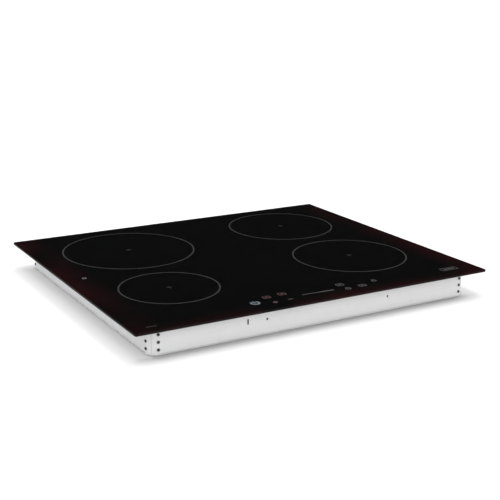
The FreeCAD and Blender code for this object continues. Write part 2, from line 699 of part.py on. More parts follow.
def coil_leads():
    """Two insulated leads per coil: out of the rim, one bend, then down to a board."""
    leads = []
    top = CARRIER_TOP + WINDING_THICK / 2
    for cx, y, toward in LEAD_EXITS.values():
        out = V(0, toward, 0)
        for k in (-0.5, 0.5):
            start = V(cx + k * LEAD_SPACING, y + toward * LEAD_RIM_GAP, top)
            corner = V(start.x, y + toward * LEAD_DROP, top)
            before, after = corner - out * LEAD_BEND_R, corner - Z * LEAD_BEND_R
            bulge = corner + (Z * -1 - out) * (LEAD_BEND_R * (1 - math.sqrt(0.5)))
            path = Part.Wire([
                Part.LineSegment(start, before).toShape(),
                Part.Arc(before, bulge, after).toShape(),
                Part.LineSegment(after, V(corner.x, corner.y, BOARD_TOP)).toShape()])
            section = Part.Wire(Part.makeCircle(LEAD_R, start, out))
            leads.append(path.makePipeShell([section], True, True))
    return group(leads)


# ---------------------------------------------------------------- electronics
def board(extent, z):
    """A bare printed circuit board: extent is x0, x1, y0, y1."""
    plate = block(*extent, z, z + BOARD_THICK)
    return plate.makeFillet(BOARD_CORNER_R, edges_along(plate, Z))


def board_screw_places(extent):
    """The four screw places of a power board."""
    x0, x1, y0, y1 = extent
    inset = BOARD_SCREW_INSET
    return [(x, y) for x in (x0 + inset, x1 - inset) for y in (y0 + inset, y1 - inset)]


def power_board(extent):
    """A board on spacers, with its screw holes."""
    plate = board(extent, BOARD_Z)
    for x, y in board_screw_places(extent):
        plate = plate.cut(rod(SCREW_HOLE_R, V(x, y, BOARD_Z - 1), Z, BOARD_THICK + 2))
    return plate


def board_screws():
    """Pan-head screws that hold the power boards down on their spacers."""
    places = [p for e in (BOARD_LEFT, BOARD_RIGHT, BOARD_FILTER) for p in board_screw_places(e)]
    return group([pan_screw(V(x, y, BOARD_TOP), Z * -1, BOARD_SCREW_LENGTH) for x, y in places])


def board_spacers():
    """Threaded pillars that hold the three power boards off the base."""
    pillars = []
    for extent in (BOARD_LEFT, BOARD_RIGHT, BOARD_FILTER):
        for x, y in board_screw_places(extent):
            pillars.append(ring(SPACER_R, SCREW_HOLE_R, V(x, y, SHEET), BOARD_Z - SHEET))
    return group(pillars)


def heat_sink(x0, y0):
    """An extruded finned heat sink, its fins along the air flow."""
    z0 = BOARD_TOP + TRANSISTOR_SIZE[2]
    z1 = PLATE_BOTTOM - PLATE_GAP
    body = block(x0, x0 + SINK_LENGTH, y0, y0 + SINK_WIDTH, z0, z0 + SINK_BASE)
    pitch = (SINK_WIDTH - FIN_THICK) / (SINK_FINS - 1)
    for k in range(SINK_FINS):
        y = y0 + k * pitch
        body = body.fuse(block(x0, x0 + SINK_LENGTH, y, y + FIN_THICK, z0, z1))
    return body.removeSplitter()


def power_transistors(x0, y0):
    """Flat transistor packages clamped under a heat sink."""
    width, depth, height = TRANSISTOR_SIZE
    y = y0 + (SINK_WIDTH - depth) / 2
    last = x0 + SINK_LENGTH - TRANSISTOR_INSET - width
    xs = [last - k * TRANSISTOR_PITCH for k in range(TRANSISTOR_COUNT)]
    return group([block(x, x + width, y, y + depth, BOARD_TOP, BOARD_TOP + height) for x in xs])


def film_capacitors(x, y0):
    """Boxed film capacitors in a row, the first centred on y0."""
    width, depth, height = CAPACITOR_SIZE
    boxes = []
    for k in range(CAPACITOR_COUNT):
        y = y0 + k * CAPACITOR_PITCH
        box = block(x - width / 2, x + width / 2, y - depth / 2, y + depth / 2,
                    BOARD_TOP, BOARD_TOP + height)
        boxes.append(box.makeFillet(CAPACITOR_EDGE_R, edges_along(box, Z)))
    return group(boxes)


def filter_choke():
    """The mains choke on the filter board: a ring core lying flat."""
    centre = V(FAN_X, (BOARD_FILTER[2] + BOARD_FILTER[3]) / 2, BOARD_TOP)
    core = ring(CHOKE_R, CHOKE_HOLE_R, centre, CHOKE_HEIGHT)
    rims = [e for e in core.Edges if isinstance(e.Curve, Part.Circle)]
    return core.makeFillet(CHOKE_EDGE_R, rims)


# ---------------------------------------------------------------- fans
def fan_housing():
    """The moulded housing, open below, its outlet to -X, with the bearing's seat in its roof."""
    z0, z1 = SHEET, SHEET + FAN_HEIGHT
    roof = z1 - FAN_WALL
    inside = FAN_R - FAN_WALL
    outer = rod(FAN_R, V(0, 0, z0), Z, FAN_HEIGHT).fuse(block(-FAN_SIDE, 0, 0, FAN_R, z0, z1))
    cavity = rod(inside, V(0, 0, z0 - 1), Z, roof - z0 + 1).fuse(
        block(-FAN_SIDE - 1, 0, FAN_WALL, inside, z0 - 1, roof))
    boss = rod(BEARING_R + BEARING_WALL, V(0, 0, roof - BEARING_BOSS), Z, BEARING_BOSS)
    housing = outer.cut(cavity).fuse(boss)
    return housing.cut(rod(BEARING_R + FIT_GAP, V(0, 0, z0), Z, FAN_HEIGHT + 1))


def hub_low():
    """Height of the underside of a fan's hub."""
    return SHEET + HUB_FLOOR_GAP


def impeller():
    """The fan wheel: a cup-shaped hub, a disc, curved-back blades and the ring that ties them."""
    disc_z = SHEET + FAN_HEIGHT - FAN_WALL - IMPELLER_ROOF_GAP
    ring_z = SHEET + IMPELLER_FLOOR_GAP
    low = hub_low()
    wheel = ring(IMPELLER_R, HUB_R - HUB_WALL / 3, V(0, 0, disc_z), IMPELLER_DISC)
    wheel = wheel.fuse(ring(HUB_R, HUB_R - HUB_WALL, V(0, 0, low), disc_z + IMPELLER_DISC - low))
    wheel = wheel.fuse(ring(HUB_R, SHAFT_R, V(0, 0, low), HUB_FLOOR))
    wheel = wheel.fuse(ring(IMPELLER_R, IMPELLER_R - IMPELLER_RING, V(0, 0, ring_z), IMPELLER_DISC))
    tip = IMPELLER_R - BLADE_INSET
    blade = block(tip - BLADE_LENGTH, tip, -BLADE_THICK / 2, BLADE_THICK / 2, ring_z,
                  disc_z + IMPELLER_DISC / 3)
    blade.rotate(V(tip, 0, 0), Z, BLADE_ANGLE)
    blade = blade.common(rod(IMPELLER_R, V(0, 0, 0), Z, OVERALL_HEIGHT))
    for k in range(BLADE_COUNT):
        wheel = wheel.fuse(placed(blade, k * 360.0 / BLADE_COUNT, V(0, 0, 0)))
    return wheel


def fan_bearing():
    """The sintered bush that the shaft turns in, held in the housing's roof."""
    low = hub_low() + HUB_FLOOR + BEARING_DROP
    return ring(BEARING_R, SHAFT_R + SHAFT_CLEARANCE, V(0, 0, low), SHEET + FAN_HEIGHT - low)


def fan_shaft():
    """The shaft, pressed into the hub's floor."""
    low = hub_low()
    return rod(SHAFT_R, V(0, 0, low), Z, SHEET + FAN_HEIGHT - SHAFT_TOP_GAP - low)


def fan_stator():
    """The laminated core round the bearing: arms with curved shoes inside the hub."""
    low = hub_low() + HUB_FLOOR + BEARING_DROP + 1.0
    high = SHEET + FAN_HEIGHT - FAN_WALL - STATOR_ROOF_GAP
    shoe_r = HUB_R - HUB_WALL - STATOR_AIR_GAP
    core_r = BEARING_R + STATOR_CORE
    core = ring(core_r, BEARING_R + FIT_GAP, V(0, 0, low), high - low)
    half = STATOR_ARM_WIDTH / 2
    arm = block(core_r - 2.0, shoe_r - 0.7, -half, half, low + 1.0, high - 1.0)
    half = STATOR_SHOE_WIDTH / 2
    shoe = ring(shoe_r, shoe_r - STATOR_SHOE_THICK, V(0, 0, low + 1.0), high - low - 2.0)
    shoe = shoe.common(block(0, HUB_R, -half, half, 0, OVERALL_HEIGHT))
    for k in range(STATOR_ARMS):
        core = core.fuse(placed(arm, k * 360.0 / STATOR_ARMS, V(0, 0, 0)))
        core = core.fuse(placed(shoe, k * 360.0 / STATOR_ARMS, V(0, 0, 0)))
    return core.cut(rod(BEARING_R + FIT_GAP, V(0, 0, 0), Z, OVERALL_HEIGHT))


def fan_parts(y, turn):
    """One fan as a dict of shapes, turned about its axis so that its outlet faces its board."""
    shapes = {"fan_housing": fan_housing(), "impeller": impeller(), "fan_bearing": fan_bearing(),
              "fan_shaft": fan_shaft(), "fan_stator": fan_stator()}
    return {name: placed(shape.removeSplitter(), turn, V(FAN_X, y, 0))
            for name, shape in shapes.items()}


# ---------------------------------------------------------------- touch controls
def touch_board_extent():
    """x0, x1, y0, y1 of the touch board, just behind the front wall."""
    y0 = -HALF_D + SHEET + TOUCH_SETBACK
    return (*TOUCH_BOARD_X, y0, y0 + TOUCH_BOARD_DEPTH)


def touch_board_z():
    """Underside of the touch board."""
    return GLASS_BOTTOM - TOUCH_DEPTH


def touch_bracket():
    """The moulded frame that carries the touch board on four legs."""
    x0, x1, y0, y1 = touch_board_extent()
    z1 = touch_board_z()
    z0 = z1 - BRACKET_THICK
    end, side = BRACKET_RIM
    leg = BRACKET_LEG
    tray = block(x0, x1, y0, y1, z0, z1)
    tray = tray.cut(block(x0 + end, x1 - end, y0 + side, y1 - side, z0 - 1, z1 + 1))
    for x in (x0, x1 - leg):
        for y in (-HALF_D + FLANGE + BRACKET_LEG_GAP, y1 - leg):
            tray = tray.fuse(block(x, x + leg, y, y + leg, SHEET, z0))
    return tray.removeSplitter()


def display_modules():
    """Four seven-segment blocks and the light bar of the power key."""
    z0, z1 = touch_board_z() + BOARD_THICK, GLASS_BOTTOM - DISPLAY_GLASS_GAP
    y = -HALF_D + DISPLAY_Y
    places = [(x, *DISPLAY_SIZE) for x in DISPLAY_X] + [(LIGHT_BAR_X, *LIGHT_BAR_SIZE)]
    return group([block(x - w / 2, x + w / 2, y - d / 2, y + d / 2, z0, z1)
                  for x, w, d in places])


def touch_springs():
    """Sleeve springs that carry the touch signal up to the glass, one per key."""
    z0, z1 = touch_board_z() + BOARD_THICK, GLASS_BOTTOM
    y = -HALF_D + TOUCH_SPRING_Y
    sleeves = []
    for x in TOUCH_KEY_X:
        sleeve = ring(TOUCH_SPRING_R, TOUCH_SPRING_R - TOUCH_SPRING_WALL, V(x, y, z0), z1 - z0)
        sleeves.append(sleeve)
    return group(sleeves)


# ---------------------------------------------------------------- mains terminal
def terminal_box():
    """The moulded box over the base opening: a roof and four walls, open below."""
    z0, z1 = SHEET, SHEET + BOX_HEIGHT
    box = block(BOX_X0, BOX_X1, BOX_Y0, BOX_Y1, z0, z1)
    box = box.makeFillet(BOX_CORNER_R, edges_along(box, Z))
    box = box.cut(block(BOX_X0 + BOX_WALL, BOX_X1 - BOX_WALL, BOX_Y0 + BOX_WALL,
                        BOX_Y1 - BOX_WALL, z0 - 1, z1 - BOX_WALL))
    box = box.cut(rod(GLAND_R + FIT_GAP, V(FAN_X, BOX_Y1 - BOX_WALL - 1, GLAND_Z), Y,
                      BOX_WALL + 2))
    pin = rod(HINGE_PIN_R, V(BOX_X0 - 1, HINGE_Y, HINGE_Z), X, BOX_WIDTH + 2)
    return box.cut(pin)


def terminal_cover():
    """The hinged cover in the base opening, with two snap tongues and its barrel."""
    side = BOX_WALL + BOX_LIP + COVER_GAP
    x0, x1 = BOX_X0 + side, BOX_X1 - side
    y1 = BOX_Y1 - BOX_WALL - COVER_GAP
    cover = block(x0, x1, HINGE_Y, y1, COVER_DROP, COVER_DROP + COVER_THICK)
    cover = cover.fuse(rod(HINGE_BARREL_R, V(x0, HINGE_Y, HINGE_Z), X, x1 - x0))
    width, thick, top = TONGUE
    for x in (x0 + 1.25 * width, x1 - 2.25 * width):
        cover = cover.fuse(block(x, x + width, y1 - 2 * thick, y1 - thick,
                                 COVER_DROP + COVER_THICK / 2, COVER_DROP + top))
    bore = rod(HINGE_PIN_R + HINGE_CLEARANCE, V(x0 - 1, HINGE_Y, HINGE_Z), X, x1 - x0 + 2)
    return cover.cut(bore).removeSplitter()


def cover_hinge_pin():
    """The steel pin across the terminal box."""
    return rod(HINGE_PIN_R, V(BOX_X0, HINGE_Y, HINGE_Z), X, BOX_WIDTH)


def pole_places():
    """X of each pole of the terminal block."""
    return [FAN_X + (k - (POLES - 1) / 2) * POLE_PITCH for k in range(POLES)]


def terminal_block():
    """A six-pole terminal block under the roof of the box, with screw wells and wire ports."""
    half = POLES * POLE_PITCH / 2
    z1 = SHEET + BOX_HEIGHT - BOX_WALL
    body = block(FAN_X - half, FAN_X + half, BLOCK_Y0, BLOCK_Y0 + BLOCK_DEPTH, BLOCK_Z0, z1)
    width, height = PORT_SIZE
    for x in pole_places():
        body = body.cut(rod(WELL_R, V(x, BLOCK_Y0 + WELL_SETBACK, BLOCK_Z0 - 1), Z,
                            WELL_DEPTH + 1))
        body = body.cut(block(x - width / 2, x + width / 2, BLOCK_Y0 + PORT_SETBACK,
                              BLOCK_Y0 + BLOCK_DEPTH + 1, BLOCK_Z0 - 1, BLOCK_Z0 + height))
    return body


def terminal_screws():
    """Brass clamp screws at the bottom of the wells, their slots at different turns."""
    z = BLOCK_Z0 + WELL_DEPTH - CLAMP_SCREW_H
    width, deep = CLAMP_SCREW_SLOT
    screws = []
    for k, x in enumerate(pole_places()):
        seat = V(x, BLOCK_Y0 + WELL_SETBACK, 0)
        screw = rod(CLAMP_SCREW_R, seat + Z * z, Z, CLAMP_SCREW_H)
        slot_cut = block(-CLAMP_SCREW_R, CLAMP_SCREW_R, -width / 2, width / 2, z - 1, z + deep)
        screws.append(screw.cut(placed(slot_cut, 20.0 * k, seat)))
    return group(screws)


def cable_gland():
    """The flanged bush for the mains cable, through the rear wall into the box."""
    start = BOX_Y1 - BOX_WALL - GLAND_REACH
    y = HALF_D
    bush = rod(GLAND_R, V(FAN_X, start, GLAND_Z), Y, y - start)
    flange = rod(GLAND_R + GLAND_LIP, V(FAN_X, y, GLAND_Z), Y, GLAND_FLANGE_H)
    rim = [e for e in flange.Edges if isinstance(e.Curve, Part.Circle)
           and e.CenterOfMass.y > y + 0.1]
    flange = flange.makeFillet(GLAND_EDGE_R, rim)
    bore = rod(GLAND_BORE_R, V(FAN_X, start - 1, GLAND_Z), Y, y - start + GLAND_FLANGE_H + 2)
    return bush.fuse(flange).cut(bore).removeSplitter()


# ---------------------------------------------------------------- the assembly
def build():
    """Every node of the cooktop, by name."""
    nodes = {
        "glass_panel": glass_panel(),
        "sealing_gasket": sealing_gasket(),
        "adhesive_bead": adhesive_bead(),
        "wall_front": wall_front(),
        "wall_rear": wall_rear(),
        "wall_left": wall_side(-1),
        "wall_right": wall_side(1),
        "base_panel": base_panel(),
        "corner_screws": corner_screws(),
        "base_screws": base_screws(),
        "board_screws": board_screws(),
        "coil_plate_left": coil_plate(PLATE_LEFT_X),
        "coil_plate_right": coil_plate(PLATE_RIGHT_X),
        "mica_sheets": mica_sheets(),
        "temperature_sensors": temperature_sensors(),
        "coil_leads": coil_leads(),
        "power_board_left": power_board(BOARD_LEFT),
        "power_board_right": power_board(BOARD_RIGHT),
        "filter_board": power_board(BOARD_FILTER),
        "board_spacers": board_spacers(),
        "filter_choke": filter_choke(),
        "touch_board": board(touch_board_extent(), touch_board_z()),
        "touch_bracket": touch_bracket(),
        "display_modules": display_modules(),
        "touch_springs": touch_springs(),
        "terminal_box": terminal_box(),
        "terminal_cover": terminal_cover(),
        "cover_hinge_pin": cover_hinge_pin(),
        "terminal_block": terminal_block(),
        "terminal_screws": terminal_screws(),
        "cable_gland": cable_gland(),
    }
    for end, sy in (("front", -1), ("rear", 1)):
        for side, sx in (("left", -1), ("right", 1)):
            nodes[f"corner_piece_{end}_{side}"] = corner_piece(sx, sy)
    bars = []
    for name, cx, cy, radius in COILS:
        bars += ferrite_bars(cx, cy, radius)
        nodes["coil_carrier_" + name] = coil_carrier(cx, cy, radius)
        nodes["coil_winding_" + name] = coil_winding(cx, cy, radius)
    nodes["ferrite_bars"] = group(bars)
    sinks = {"left": (BOARD_LEFT[1] - SINK_INSET_LEFT - SINK_LENGTH, FAN_LEFT_Y + SINK_FAN_GAP),
             "right": (BOARD_RIGHT[0] + SINK_INSET_RIGHT, FAN_RIGHT_Y - SINK_FAN_GAP - SINK_WIDTH)}
    capacitors = {
        "left": (BOARD_LEFT[0] + CAPACITOR_INSET, BOARD_LEFT[2] + CAPACITOR_START_LEFT),
        "right": (BOARD_RIGHT[1] - CAPACITOR_INSET, BOARD_RIGHT[2] + CAPACITOR_START_RIGHT)}
    for side in ("left", "right"):
        nodes["heat_sink_" + side] = heat_sink(*sinks[side])
        nodes["power_transistors_" + side] = power_transistors(*sinks[side])
        nodes["film_capacitors_" + side] = film_capacitors(*capacitors[side])
    for side, y, turn in (("left", FAN_LEFT_Y, 0), ("right", FAN_RIGHT_Y, 180)):
        for name, shape in fan_parts(y, turn).items():
            nodes[f"{name}_{side}"] = shape
    return nodes


def main():
    os.makedirs("parts", exist_ok=True)
    nodes = build()
    for name, shape in sorted(nodes.items()):
        if not shape.isValid() or not shape.Solids:
            print("BAD SHAPE", name, shape.isValid(), len(shape.Solids))
        shape.exportStep(os.path.join("parts", name + ".step"))
    print(len(nodes), "nodes")


main()
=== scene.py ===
"""Looks of a built-in induction cooktop, in metres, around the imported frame."""
import json
import math

import bpy
import numpy as np
from mathutils import Matrix, Vector


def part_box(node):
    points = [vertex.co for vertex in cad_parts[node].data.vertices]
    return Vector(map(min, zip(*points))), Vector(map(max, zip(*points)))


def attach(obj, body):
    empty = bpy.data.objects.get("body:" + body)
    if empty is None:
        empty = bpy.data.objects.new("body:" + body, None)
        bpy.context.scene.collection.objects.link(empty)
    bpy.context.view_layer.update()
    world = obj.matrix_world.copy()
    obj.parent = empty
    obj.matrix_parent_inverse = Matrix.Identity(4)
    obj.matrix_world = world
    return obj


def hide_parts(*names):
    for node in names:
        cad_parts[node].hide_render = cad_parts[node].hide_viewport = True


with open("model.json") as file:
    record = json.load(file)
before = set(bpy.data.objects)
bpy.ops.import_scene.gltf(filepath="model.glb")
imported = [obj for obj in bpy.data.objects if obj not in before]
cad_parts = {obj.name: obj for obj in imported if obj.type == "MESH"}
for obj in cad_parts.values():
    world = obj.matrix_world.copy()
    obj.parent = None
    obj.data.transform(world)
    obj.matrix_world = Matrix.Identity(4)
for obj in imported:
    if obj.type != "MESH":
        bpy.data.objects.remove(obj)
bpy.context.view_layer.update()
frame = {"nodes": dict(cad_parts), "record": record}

MM = 0.001
CASING = "casing"

# ------------------------------------------------------------------ places from the frame
glass_low, glass_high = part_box("glass_panel")
GLASS_HALF_X = glass_high.x
GLASS_HALF_Y = glass_high.y
GLASS_TOP = glass_high.z
GLASS_UNDER = glass_low.z
GLASS_CORNER = 3.0 * MM
PRINT_SINK = 0.03 * MM          # the plate lies this far below the top of the print
PRINT_THICK = PRINT_SINK + 0.004 * MM    # the print bites this little into the plate
KEY_PLACES = (-100.0, -73.0, -46.0, -18.0, -3.0, 12.0, 27.0, 52.0, 80.0, 112.0)    # mm, along x
ZONE_NAMES = ("rear_left", "front_left", "rear_right", "front_right")
RING_BEYOND_COIL = 8.6 * MM     # from a coil carrier's rim to the middle of its ring
RING_WIDTH = 2.4 * MM
THIN_LINE, BOLD_LINE = 1.2 * MM, 2.0 * MM
FRONT_EDGE = -GLASS_HALF_Y / MM    # mm, the plate's front edge


def middle(node):
    """Centre of a CAD node's box, as x, y, z."""
    low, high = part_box(node)
    return [(low[i] + high[i]) / 2 for i in range(3)]


def coil_zone(name):
    """Centre x, centre y and rim radius of a zone's coil carrier."""
    low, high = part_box("coil_carrier_" + name)
    x, y, _ = middle("coil_carrier_" + name)
    return x, y, (high.x - low.x) / 2


# ------------------------------------------------------------------ camera, floor, light
def studio_camera():
    """A long lens, a little above the plate, off its front-left corner."""
    yaw, pitch, roll = math.radians(30.16), math.radians(15.89), math.radians(0.45)
    place_x, place_y, above_plate = -0.7954, -1.3992, 0.4672
    lens, sensor, sight = 74.5, 36.0, 200.0
    data = bpy.data.cameras.new("camera")
    data.sensor_width = sensor
    data.lens = lens
    data.clip_end = sight
    camera = bpy.data.objects.new("camera", data)
    turn = (Matrix.Rotation(-yaw, 4, "Z") @ Matrix.Rotation(math.pi / 2 - pitch, 4, "X")
            @ Matrix.Rotation(roll, 4, "Z"))
    camera.matrix_world = Matrix.Translation((place_x, place_y, above_plate + GLASS_TOP)) @ turn
    bpy.context.scene.collection.objects.link(camera)
    bpy.context.scene.camera = camera


def studio_floor():
    """A wide, plain, pale floor under the casing. Reflections see it darker than the eye does."""
    half, drop = 30.0, 0.1 * MM
    pale, mirrored = (0.255, 0.255, 0.255, 1), (0.06, 0.06, 0.06, 1)
    mesh = bpy.data.meshes.new("floor")
    mesh.from_pydata([(-half, -half, 0), (half, -half, 0), (half, half, 0), (-half, half, 0)],
                     [], [(0, 1, 2, 3)])
    floor = bpy.data.objects.new("floor", mesh)
    floor.location.z = -drop
    bpy.context.scene.collection.objects.link(floor)
    look = bpy.data.materials.new("pale_floor")
    look.use_nodes = True
    nodes, links = look.node_tree.nodes, look.node_tree.links
    shader = nodes["Principled BSDF"]
    path = nodes.new("ShaderNodeLightPath")
    mix = nodes.new("ShaderNodeMix")
    mix.data_type = "RGBA"
    mix.inputs["A"].default_value = pale
    mix.inputs["B"].default_value = mirrored
    links.new(path.outputs["Is Glossy Ray"], mix.inputs["Factor"])
    links.new(mix.outputs["Result"], shader.inputs["Base Color"])
    shader.inputs["Roughness"].default_value = 1.0
    shader.inputs["Specular IOR Level"].default_value = 0.0
    mesh.materials.append(look)
    return floor


def floor_light(floor, plate):
    """A wide soft light from overhead for the floor only. The walls shade it, the plate doesn't."""
    strength, spread, falling = 9.8, math.radians(50), Vector((-0.16, -0.26, -0.97))
    data = bpy.data.lights.new("floor_light", "SUN")
    data.energy = strength
    data.angle = spread
    lamp = bpy.data.objects.new("floor_light", data)
    lamp.rotation_mode = "QUATERNION"
    lamp.rotation_quaternion = falling.to_track_quat("-Z", "Y")
    bpy.context.scene.collection.objects.link(lamp)
    lit = bpy.data.collections.new("floor_only")
    lit.objects.link(floor)
    lamp.light_linking.receiver_collection = lit
    passed = bpy.data.collections.new("all_but_plate")
    passed.objects.link(plate)
    passed.collection_objects[0].light_linking.link_state = "EXCLUDE"
    lamp.light_linking.blocker_collection = passed


def studio_light():
    """An even pale room. Reflections see it dark near the horizon and soft overhead."""
    room_strength = 1.75
    horizon, overhead = (0.42, 0.006), (0.95, 0.4)      # height of the ray, strength seen there
    world = bpy.data.worlds.new("studio")
    world.use_nodes = True
    nodes, links = world.node_tree.nodes, world.node_tree.links
    nodes.clear()
    room = nodes.new("ShaderNodeBackground")
    room.inputs["Color"].default_value = (1, 1, 1, 1)
    room.inputs["Strength"].default_value = room_strength
    mirrored = nodes.new("ShaderNodeBackground")
    place = nodes.new("ShaderNodeTexCoord")
    split = nodes.new("ShaderNodeSeparateXYZ")
    links.new(place.outputs["Generated"], split.inputs[0])
    height = nodes.new("ShaderNodeMapRange")
    height.interpolation_type = "SMOOTHSTEP"
    height.inputs["From Min"].default_value, height.inputs["To Min"].default_value = horizon
    height.inputs["From Max"].default_value, height.inputs["To Max"].default_value = overhead
    links.new(split.outputs["Z"], height.inputs["Value"])
    links.new(height.outputs["Result"], mirrored.inputs["Strength"])
    path = nodes.new("ShaderNodeLightPath")
    mix = nodes.new("ShaderNodeMixShader")
    out = nodes.new("ShaderNodeOutputWorld")
    links.new(path.outputs["Is Glossy Ray"], mix.inputs[0])
    links.new(room.outputs[0], mix.inputs[1])
    links.new(mirrored.outputs[0], mix.inputs[2])
    links.new(mix.outputs[0], out.inputs["Surface"])
    bpy.context.scene.world = world
    bpy.context.scene.view_settings.view_transform = "Standard"


# ------------------------------------------------------------------ finishes
class Finish:
    """One procedural material on object coordinates, built up from a few named layers."""

    def __init__(self, name, colour, rough, metal=0.0):
        self.material = bpy.data.materials.new(name)
        self.material.use_nodes = True
        self.tree = self.material.node_tree
        self.shader = self.tree.nodes["Principled BSDF"]
        self.shader.inputs["Metallic"].default_value = metal
        self.shader.inputs["Roughness"].default_value = rough
        self.shader.inputs["Base Color"].default_value = (*colour, 1)
        self.material.diffuse_color = (*colour, 1)
        self.place = self.tree.nodes.new("ShaderNodeTexCoord").outputs["Object"]

    def node(self, kind, **values):
        made = self.tree.nodes.new(kind)
        for key, value in values.items():
            setattr(made, key, value)
        return made

    def link(self, out, into):
        self.tree.links.new(out, into)

    def stretched(self, scale):
        """Object coordinates scaled differently along each axis."""
        mapping = self.node("ShaderNodeMapping")
        mapping.inputs["Scale"].default_value = scale
        self.link(self.place, mapping.inputs["Vector"])
        return mapping.outputs["Vector"]

    def noise(self, size_mm, detail=3.0, stretch=(1, 1, 1)):
        """Soft noise whose features are about size_mm across."""
        tex = self.node("ShaderNodeTexNoise")
        tex.inputs["Scale"].default_value = 1000.0 / size_mm
        tex.inputs["Detail"].default_value = detail
        self.link(self.stretched(stretch), tex.inputs["Vector"])
        return tex.outputs["Fac"]

    def cells(self, size_mm, output="Distance", stretch=(1, 1, 1)):
        """Voronoi cells about size_mm across."""
        tex = self.node("ShaderNodeTexVoronoi")
        tex.inputs["Scale"].default_value = 1000.0 / size_mm
        self.link(self.stretched(stretch), tex.inputs["Vector"])
        return tex.outputs[output]

    def ramp(self, value, low, high, start=0.0, end=1.0):
        """value taken from low..high to start..end."""
        tex = self.node("ShaderNodeMapRange")
        for key, number in (("From Min", low), ("From Max", high), ("To Min", start), ("To Max", end)):
            tex.inputs[key].default_value = number
        self.link(value, tex.inputs["Value"])
        return tex.outputs["Result"]

    def tint(self, value, first, second):
        """Base colour between two colours by value."""
        mix = self.node("ShaderNodeMix", data_type="RGBA")
        mix.inputs["A"].default_value = (*first, 1)
        mix.inputs["B"].default_value = (*second, 1)
        self.link(value, mix.inputs["Factor"])
        self.link(mix.outputs["Result"], self.shader.inputs["Base Color"])
        return self

    def rough(self, value, low, high):
        """Roughness from low to high by value."""
        self.link(self.ramp(value, 0.3, 0.7, low, high), self.shader.inputs["Roughness"])
        return self

    def bump(self, value, height_mm):
        """A relief of the given height."""
        bump = self.node("ShaderNodeBump")
        bump.inputs["Strength"].default_value = 1.0
        bump.inputs["Distance"].default_value = height_mm * MM
        self.link(value, bump.inputs["Height"])
        self.link(bump.outputs["Normal"], self.shader.inputs["Normal"])
        return self


def shade(colour, factor):
    """A colour made lighter or darker."""
    return tuple(min(1.0, c * factor) for c in colour)


def glass_ceramic():
    """Polished black glass-ceramic with soft wiping marks, and a faint red-brown glow painted in by its
    edges that stands in for light passing through the rim.
    """
    # brown is the painted glow of light through the rim. end_band and front_band set how far in from
    # the ends and the front edge it is painted.
    black, brown = (0.0014, 0.00145, 0.0015), (0.0105, 0.0022, 0.0028)
    end_band, front_band = 50 * MM, 26 * MM
    f = Finish("glass_ceramic", (0.0015, 0.0015, 0.0015), 0.06)
    f.shader.inputs["IOR"].default_value = 1.5
    f.shader.inputs["Specular IOR Level"].default_value = 0.5
    split = f.node("ShaderNodeSeparateXYZ")
    f.link(f.place, split.inputs[0])
    aside = f.node("ShaderNodeMath", operation="ABSOLUTE")
    f.link(split.outputs["X"], aside.inputs[0])
    near_end = f.ramp(aside.outputs[0], GLASS_HALF_X - end_band, GLASS_HALF_X)
    near_front = f.ramp(split.outputs["Y"], -GLASS_HALF_Y + front_band, -GLASS_HALF_Y)
    # Painted rim glow: strongest at the ends and the front edge, fading inwards, mottled by slow noise.
    edge = f.node("ShaderNodeMath", operation="MAXIMUM")
    f.link(near_end, edge.inputs[0])
    f.link(near_front, edge.inputs[1])
    painted_rim_glow = f.node("ShaderNodeMath", operation="MULTIPLY")
    f.link(edge.outputs[0], painted_rim_glow.inputs[0])
    f.link(f.ramp(f.noise(120, 2.0), 0.34, 0.6), painted_rim_glow.inputs[1])
    f.tint(painted_rim_glow.outputs[0], black, brown)
    f.rough(f.noise(45, 4.0, (1, 3.0, 1)), 0.045, 0.11)
    return f.bump(f.noise(9, 1.0), 0.002)


def enamel_print(name, colour):
    """Fired ceramic print: a fine dot screen that lets a little of the glass through."""
    f = Finish(name, colour, 0.35)
    f.tint(f.ramp(f.cells(0.55), 0.2, 0.6), colour, shade(colour, 0.72))
    return f.rough(f.noise(3, 2.0), 0.28, 0.42)


def coated_sheet():
    """Light grey coated steel sheet: faint spangle under the coat and rolling marks."""
    grey, along_sheet = (0.63, 0.63, 0.635), (0.06, 0.06, 2.0)
    f = Finish("casing_steel", grey, 0.5)
    marks = f.node("ShaderNodeMath", operation="ADD")
    f.link(f.ramp(f.cells(9, "Color"), 0.0, 1.0, 0.0, 0.45), marks.inputs[0])
    f.link(f.ramp(f.noise(3, 3.0, along_sheet), 0.35, 0.65, 0.0, 0.55), marks.inputs[1])
    f.tint(marks.outputs[0], shade(grey, 0.965), shade(grey, 1.035))
    f.rough(f.noise(14, 3.0), 0.42, 0.58)
    return f.bump(f.noise(1.6, 2.0), 0.012)


def plain_metal(name, colour, rough, grain_mm, stretch=(1, 1, 1), relief=0.01):
    """Bare metal with a grain of its own."""
    f = Finish(name, colour, rough, 1.0)
    f.tint(f.noise(grain_mm, 4.0, stretch), shade(colour, 0.82), shade(colour, 1.12))
    f.rough(f.noise(grain_mm * 2, 3.0, stretch), rough - 0.08, rough + 0.1)
    return f.bump(f.noise(grain_mm, 3.0, stretch), relief)


def black_oxide():
    """Blackened steel, worn a little brown-grey on the raised places."""
    f = Finish("dark_screw", (0.09, 0.088, 0.086), 0.45, 0.5)
    f.tint(f.ramp(f.noise(0.9, 3.0), 0.4, 0.7), (0.05, 0.05, 0.052), (0.16, 0.15, 0.14))
    return f.rough(f.noise(0.6, 2.0), 0.38, 0.6)


def moulded(name, colour, rough=0.55, grain_mm=0.6, relief=0.02):
    """Moulded plastic with a spark-eroded grain and slow tone changes."""
    f = Finish(name, colour, rough)
    f.tint(f.noise(22, 3.0), shade(colour, 0.88), shade(colour, 1.12))
    f.rough(f.noise(6, 2.0), rough - 0.06, rough + 0.07)
    return f.bump(f.noise(grain_mm, 2.0), relief)


